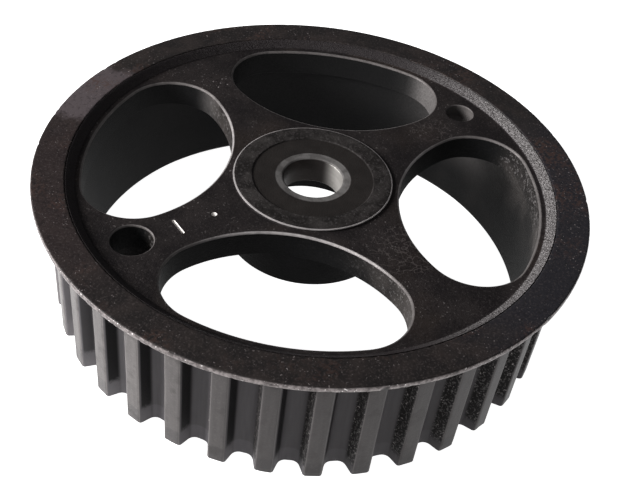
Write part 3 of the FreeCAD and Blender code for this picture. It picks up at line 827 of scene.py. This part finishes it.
# %% The hub, turned from one profile
hub_front, hub_rear = turned_wall([
    (RING_RADIUS + 0.28, WEB_FRONT), (RING_RADIUS + 0.1, WEB_FRONT + 0.03),
    (RING_RADIUS + 0.01, WEB_FRONT + 0.13), (RING_RADIUS, RING_FRONT - 0.22),
    (RING_RADIUS - 0.06, RING_FRONT - 0.07), (RING_RADIUS - 0.22, RING_FRONT),
    (15.4, RING_FRONT), (14.2, RING_FRONT), (SEAT_RADIUS + 0.24, RING_FRONT),
    (SEAT_RADIUS + 0.1, RING_FRONT - 0.04), (SEAT_RADIUS + 0.02, SEAT + 0.12),
    (SEAT_RADIUS - 0.04, SEAT + 0.04), (SEAT_RADIUS - 0.16, SEAT), (10.6, SEAT), (8.2, SEAT),
    (8.0, SEAT - 0.03), (BORE_RADIUS + 0.52, SEAT - 0.03), (BORE_RADIUS + 0.36, SEAT - 0.08),
    (BORE_RADIUS + 0.08, SEAT - 0.36), (BORE_RADIUS, SEAT - 0.52), (BORE_RADIUS, 26.0),
    (BORE_RADIUS, WEB_REAR + 0.2), (BORE_RADIUS + 0.2, WEB_REAR),
    (NOSE_RADIUS - 0.15, WEB_REAR), (NOSE_RADIUS, WEB_REAR - 0.15),
    (NOSE_RADIUS, BOSS_REAR + 0.7), (NOSE_RADIUS + 0.1, BOSS_REAR + 0.5),
    (NOSE_RADIUS + 0.5, BOSS_REAR + 0.1), (NOSE_RADIUS + 0.75, BOSS_REAR),
    (BOSS_RADIUS - 0.35, BOSS_REAR), (BOSS_RADIUS - 0.1, BOSS_REAR + 0.1),
    (BOSS_RADIUS, BOSS_REAR + 0.35), (BOSS_RADIUS, WEB_REAR - 0.1),
    (BOSS_RADIUS + 0.1, WEB_REAR),
], 240)
print("hub turned from", round(BOSS_REAR, 1), "to", round(RING_FRONT, 2), "mm")

# %% [markdown]
# ### Fill the web and join it to the rim
#
# The outer loops of both plates take the same angles as the rim's columns. After the
# rim's mesh is added, points that lie on each other are merged, and the whole wheel is
# one closed skin. Its normals are then worked out afresh, so that every face looks
# outwards. Last, the teeth get the small knocks of a used part.

# %% Close the wheel
columns = []
for k in range(TOOTH_COUNT):
    for turn, _ in TOOTH[:-1]:
        columns.append(turn + math.radians(FIRST_TOOTH) + 2 * math.pi * k / TOOTH_COUNT)


def rim_circle(radius):
    return [(radius * math.cos(a), radius * math.sin(a)) for a in columns]


front_area = plate(loop(rim_circle(JOIN), WEB_FRONT), [hub_front] + front_loops)
rear_area = plate(loop(rim_circle(RIM_WALL), WEB_REAR), [hub_rear] + rear_loops)
shell.from_mesh(rim_mesh)
bmesh.ops.remove_doubles(shell, verts=shell.verts, dist=0.006 * MM)
bmesh.ops.recalc_face_normals(shell, faces=shell.faces)
open_edges = [edge for edge in shell.edges if len(edge.link_faces) != 2]
print("front %.0f mm2, rear %.0f mm2, open edges %d" % (front_area, rear_area, len(open_edges)))

# %% [markdown]
# ### Knocks on the teeth
#
# Points near the tips are pushed in by noise, most of all at the rear ends. Noise that
# is read from the position needs no seed, so the same knocks come back on every run.

# %% Knocks on the teeth
KNOCK_SIZE = 1.4
for vert in shell.verts:
    x, y, z = vert.co / MM
    reach = math.hypot(x, y)
    if reach > TIP - 0.4 and z < FACE - 0.2:
        dent = max(noise.noise(Vector((x, y, z * 0.5)) / KNOCK_SIZE) - 0.25, 0)
        end = 1.0 if z < 0.5 else 0.35
        push = 1 - 0.28 * dent * end / reach
        vert.co.x, vert.co.y = x * push * MM, y * push * MM
wheel_mesh = bpy.data.meshes.new("sintered_wheel")
shell.to_mesh(wheel_mesh)
shell.free()
print("the wheel has", len(wheel_mesh.polygons), "faces")

# %% [markdown]
# ### Hand the wheel over
#
# Curved faces are shaded smooth and real edges stay sharp. Weighted normals keep the
# big flat faces flat right up to their rounded edges. The piece then takes the place
# of the plain node and rides on the pulley's only body.

# %% The wheel as a piece
def make_piece(name, mesh, material, node, crease):
    mesh.materials.clear()
    mesh.materials.append(material)
    mesh.shade_smooth()
    mesh.set_sharp_from_angle(angle=math.radians(crease))
    piece = bpy.data.objects.new(name, mesh)
    bpy.context.scene.collection.objects.link(piece)
    weighted = piece.modifiers.new("flat faces stay flat", "WEIGHTED_NORMAL")
    weighted.keep_sharp = True
    weighted.weight = 80
    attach(piece, "root")
    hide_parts(node)
    return piece


make_piece("sintered_wheel", wheel_mesh, SINTER, "toothed_wheel", 38)
print("wheel handed over")

# %% [markdown]
# ## The belt flange
#
# The flange is a stamped steel ring. Its outer edge has been knocked bright and is
# nicked in places, and where it meets the wheel's collar a thin, ragged seam stays
# open. A turned ring with a rolled edge gives the shape, and the nicks are pressed in
# by noise, so that no two of them are alike.

# %% The ring, its seam and its nicks
RING_STEPS = 720
seam = COLLAR + 0.03
profile = [(seam, FACE), (seam, FRONT - 0.3), (seam + 0.05, FRONT - 0.1),
           (seam + 0.16, FRONT - 0.02), (seam + 0.4, FRONT)]
profile += [(radius, FRONT) for radius in (51.6, 53.0, 54.4, 55.7)]
ROLL = 0.45
for turn in steps(math.pi / 2, -math.pi / 2, 9):
    middle = FRONT - ROLL if turn > 0.01 else FACE + ROLL if turn < -0.01 else (FRONT + FACE) / 2
    profile.append((FLANGE_EDGE - ROLL + ROLL * math.cos(turn), middle + ROLL * math.sin(turn)))
profile += [(radius, FACE) for radius in (54.8, 52.6)]

ring_shell = bmesh.new()
loops = []
for radius, level in profile:
    row = []
    for i in range(RING_STEPS):
        a = 2 * math.pi * i / RING_STEPS
        place = Vector((radius * math.cos(a), radius * math.sin(a), level))
        change = 0.0
        if radius > FLANGE_EDGE - 0.5:
            nick = max(noise.noise(place / 0.9 + Vector((7, 3, 1))) - 0.28, 0)
            wave = max(noise.noise(place / 5.0 + Vector((2, 9, 4))), 0)
            change = -0.45 * nick - 0.07 * wave
        elif radius < seam + 0.3 and level > FRONT - 0.4:
            change = 0.07 + 0.14 * noise.noise(place / 0.8)
        r = radius + change
        row.append(ring_shell.verts.new((r * math.cos(a) * MM, r * math.sin(a) * MM, level * MM)))
    loops.append(row)
for k in range(len(loops)):
    first, second = loops[k], loops[(k + 1) % len(loops)]
    for i in range(RING_STEPS):
        j = (i + 1) % RING_STEPS
        ring_shell.faces.new((first[i], first[j], second[j], second[i]))
bmesh.ops.recalc_face_normals(ring_shell, faces=ring_shell.faces)
flange_mesh = bpy.data.meshes.new("belt_flange_ring")
ring_shell.to_mesh(flange_mesh)
ring_shell.free()
print("flange from", round(seam, 2), "to", round(FLANGE_EDGE, 2), "mm,", len(flange_mesh.polygons), "faces")

# %% [markdown]
# ### Heat-tinted steel
#
# The flange is tinted by heat. Its face is black-brown, with rust, purple-grey and
# blue-black patches that have cloudy borders, and bright pricks where the skin has
# chipped. The edge is bare, dull metal. Several cloud patterns of different sizes are
# laid over each other, and the place round the ring decides which colour leads,
# because the real tint changes from side to side.

# %% The flange's finish
tinted = Finish("heat_tinted_steel")
t_fine = tinted.grain(0.2, 2.0, 11.0)
t_coarse = tinted.grain(0.7, 3.0, 12.0)
t_clouds = tinted.grain(4.5, 4.0, 13.0)
t_patches = tinted.grain(13.0, 3.0, 14.0)
t_middle = tinted.grain(0.42, 2.0, 16.0)
t_specks = tinted.rise(tinted.grain(0.42, 1.0, 15.0), 0.68, 0.73)
brown = tinted.tint(tinted.rise(t_clouds, 0.38, 0.66), (0.0078, 0.0063, 0.0062), (0.0155, 0.0118, 0.0109))


def toward(x, y, spread, soft):
    """1 near a place on the ring, falling off to 0 with a cloudy border."""
    away = tinted.math("MULTIPLY_ADD", t_clouds, 16.0, tinted.away_from(x, y))
    return tinted.outside(tinted.rise(away, spread + 8 - soft, spread + 8 + soft))


flange_colour = tinted.tint(tinted.both(toward(-50, -14, 26, 9), 0.5), brown, (0.019, 0.0118, 0.0115))
blue = tinted.both(toward(52, -10, 34, 12), 0.8)
flange_colour = tinted.tint(blue, flange_colour, (0.0115, 0.0112, 0.0145))
purple = tinted.both(toward(-51.0, 17.0, 11, 2.5), 0.9)
flange_colour = tinted.tint(purple, flange_colour, (0.064, 0.052, 0.055))
rust = tinted.both(tinted.rise(t_patches, 0.52, 0.68), tinted.rise(t_coarse, 0.45, 0.6), 0.7)
flange_colour = tinted.tint(rust, flange_colour, (0.040, 0.021, 0.016))
worn_grain = tinted.both(tinted.rise(t_middle, 0.5, 0.7), 0.45)
flange_colour = tinted.tint(worn_grain, flange_colour, (0.045, 0.037, 0.0355))
pits = tinted.level(tinted.rise(t_coarse, 0.32, 0.46), 0.5, 1.0)
flange_colour = tinted.tint(pits, (0.005, 0.0042, 0.0044), flange_colour)
chipped = tinted.both(t_specks, tinted.rise(t_patches, 0.38, 0.6), 0.8)
flange_colour = tinted.tint(chipped, flange_colour, (0.16, 0.14, 0.138))
rim_edge = tinted.rise(tinted.radius, FLANGE_EDGE - 0.2, FLANGE_EDGE - 0.06)
edge_grey = tinted.tint(tinted.rise(t_coarse, 0.35, 0.65), (0.075, 0.065, 0.064), (0.19, 0.168, 0.166))
edge_grey = tinted.tint(t_specks, edge_grey, (0.6, 0.57, 0.56))
flange_colour = tinted.tint(rim_edge, flange_colour, edge_grey)
t_rough = tinted.level(t_coarse, 0.42, 0.68)
t_rough = tinted.level(rim_edge, t_rough, 0.45)
t_metal = tinted.both(rim_edge, 0.5)
t_relief = tinted.math("MULTIPLY_ADD", t_fine, 0.5, t_coarse)
tinted.shader.inputs["Specular IOR Level"].default_value = 0.18
TINTED = tinted.finish(flange_colour, t_rough, t_metal, tinted.relief(t_relief, 0.05))
make_piece("belt_flange_ring", flange_mesh, TINTED, "belt_flange", 50)
print("heat-tinted steel has", len(tinted.tree.nodes), "nodes")

# %% [markdown]
# ## Floor, light and camera
#
# Black metal on a pale ground needs light that comes in low from one side: the face
# stays dark, and only edges, grain and walls that look towards the light show up. A
# large soft light stands on the left, a much weaker one in front, and the sky is a dim
# grey, because a bright one would turn the black face grey. The ground shines by itself,
# which keeps it white inside the windows, where the wheel's own shadow falls.

# %% The floor
floor_mesh = bpy.data.meshes.new("floor")
FLOOR = 4.0
corners = [(-FLOOR, -FLOOR, 0), (FLOOR, -FLOOR, 0), (FLOOR, FLOOR, 0), (-FLOOR, FLOOR, 0)]
floor_mesh.from_pydata(corners, [], [(0, 1, 2, 3)])
floor = bpy.data.objects.new("floor", floor_mesh)
bpy.context.scene.collection.objects.link(floor)
pale = bpy.data.materials.new("pale_ground")
pale.use_nodes = True
ground = {"Base Color": (0.6, 0.6, 0.6, 1), "Roughness": 1.0, "Specular IOR Level": 0.0,
          "Emission Color": (1, 1, 1, 1), "Emission Strength": 1.0}
for socket, value in ground.items():
    pale.node_tree.nodes["Principled BSDF"].inputs[socket].default_value = value
floor_mesh.materials.append(pale)
print("floor laid at", wheel_low.z)


# %% [markdown]
# ### The lights
#
# Both lamps are wide discs, because a small one would draw hard shadows between the
# teeth. The key stands low on the left, so that walls that face left light up.

# %% The lights
def soft_light(name, place, size, power, colour=(1, 1, 1)):
    """A round area light that looks at the middle of the pulley."""
    lamp = bpy.data.lights.new(name, "AREA")
    lamp.shape = "DISK"
    lamp.size = size
    lamp.energy = power
    lamp.color = colour
    holder = bpy.data.objects.new(name, lamp)
    holder.location = place
    holder.rotation_euler = (Vector(place) - Vector((0, 0, 0.02))).to_track_quat("Z", "Y").to_euler()
    bpy.context.scene.collection.objects.link(holder)
    return holder


soft_light("key", (-0.84, -0.21, 0.42), 0.40, 24)
soft_light("fill", (0.25, -0.9, 0.55), 0.7, 1.0)
world = bpy.data.worlds.new("dim_sky")
world.use_nodes = True
world.node_tree.nodes["Background"].inputs["Color"].default_value = (0.9, 0.92, 0.95, 1)
world.node_tree.nodes["Background"].inputs["Strength"].default_value = 0.2
bpy.context.scene.world = world
bpy.context.scene.view_settings.view_transform = "Standard"
print("two lights and a dim sky")

# %% [markdown]
# ### The camera
#
# The pulley is seen across its lower window, from about 45 degrees above the ground, with
# the camera rolled by about 7 degrees. The camera's three axes are
# worked out from those angles and put into its matrix.

# %% The camera
DISTANCE = 0.23488
ELEVATION = math.radians(44.719)
AZIMUTH = math.radians(1.157)
ROLL_ANGLE = math.radians(-6.758)
ASIDE, UPWARD = 0.00233, 0.00070

back = Vector((math.sin(AZIMUTH) * math.cos(ELEVATION),
               -math.cos(AZIMUTH) * math.cos(ELEVATION), math.sin(ELEVATION)))
level_right = Vector((math.cos(AZIMUTH), math.sin(AZIMUTH), 0))
level_up = back.cross(level_right)
right = level_right * math.cos(ROLL_ANGLE) - level_up * math.sin(ROLL_ANGLE)
up = level_right * math.sin(ROLL_ANGLE) + level_up * math.cos(ROLL_ANGLE)
lens = bpy.data.cameras.new("camera")
lens.sensor_width = 36
lens.lens = 60.05
lens.shift_x = 0.0323
lens.shift_y = 0.0484
lens.clip_start = 0.01
camera = bpy.data.objects.new("camera", lens)
camera.rotation_mode = "QUATERNION"
camera.location = back * DISTANCE - right * ASIDE - up * UPWARD
turned_to = [[right[i], up[i], back[i]] for i in range(3)]
camera.rotation_quaternion = Matrix(turned_to).to_quaternion()
bpy.context.scene.collection.objects.link(camera)
bpy.context.scene.camera = camera
print("camera at", [round(value, 4) for value in camera.location])

# %% [markdown]
# ## The frame at the end
#
# The boxes of the finished pieces and of the solid model must agree, because looks never
# change a size.
